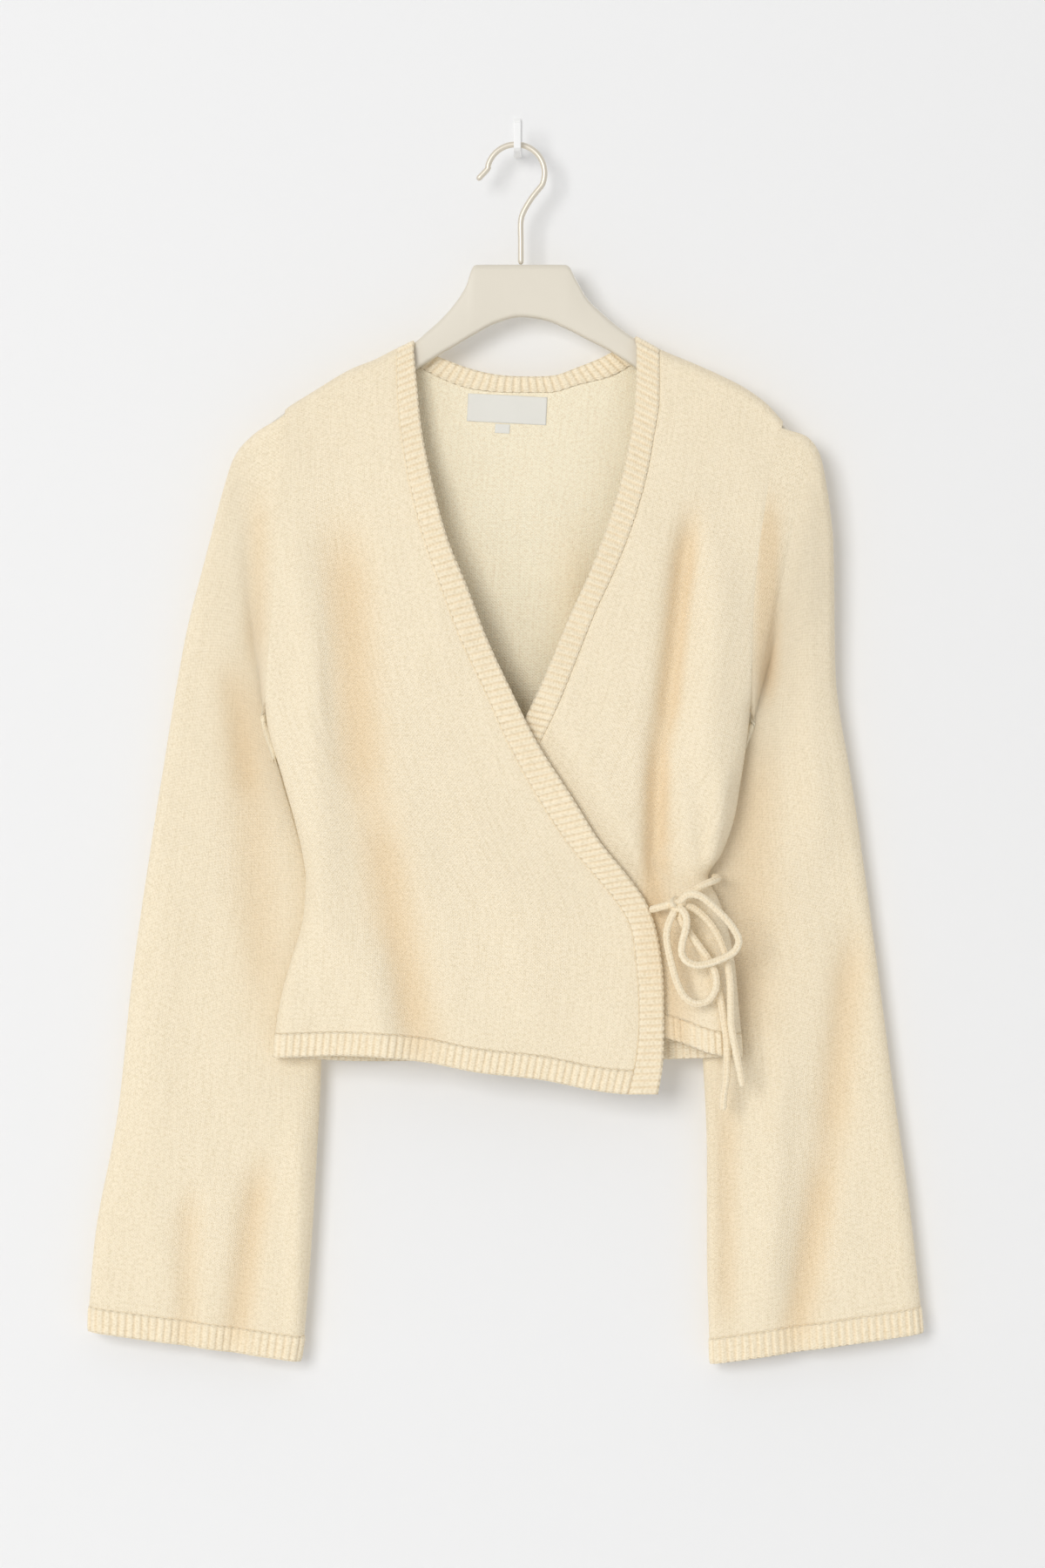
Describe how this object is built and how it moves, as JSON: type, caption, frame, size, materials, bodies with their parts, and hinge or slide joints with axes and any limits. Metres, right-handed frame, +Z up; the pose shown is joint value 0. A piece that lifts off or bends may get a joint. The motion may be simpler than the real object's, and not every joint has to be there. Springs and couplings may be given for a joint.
{
  "type": "wrap cardigan on a hanger and wall hook",
  "caption": "Cropped knitted wrap cardigan with wide sleeves, ribbed bands and a side tie, on a flat hanger that hangs from a small wall hook.",
  "frame": {"origin": "middle of the wall hook's flat back face, on the wall", "axes": "+X to the viewer's right, -Y away from the wall towards the viewer, +Z up"},
  "size_m": [0.5679, 0.0682, 0.8494],
  "materials": {
    "knit": "brushed fine-gauge wool knit",
    "rib": "brushed one by one rib knit",
    "tie": "knitted tube cord",
    "label": "plain woven label",
    "hanger": "matt moulded",
    "wire": "satin",
    "hook": "satin white"
  },
  "bodies": {
    "root": {"front_outer": "knit", "front_under": "knit", "back_panel": "knit", "band_outer": "rib", "band_under": "rib", "hem_outer": "rib", "hem_under": "rib", "hem_back": "rib", "back_neck_band": "rib", "sleeve_left": "knit", "sleeve_right": "knit", "cuff_left": "rib", "cuff_right": "rib", "neck_label": "label", "size_tab": "label", "hanger_body": "hanger", "hanger_hook": "wire", "wall_hook": "hook", "tie_knot": "tie", "tie_front_lead": "tie", "tie_side_lead": "tie", "tie_right_loop": "tie", "tie_left_loop": "tie", "tie_side_tail": "tie", "tie_front_tail": "tie"}
  },
  "joints": []
}
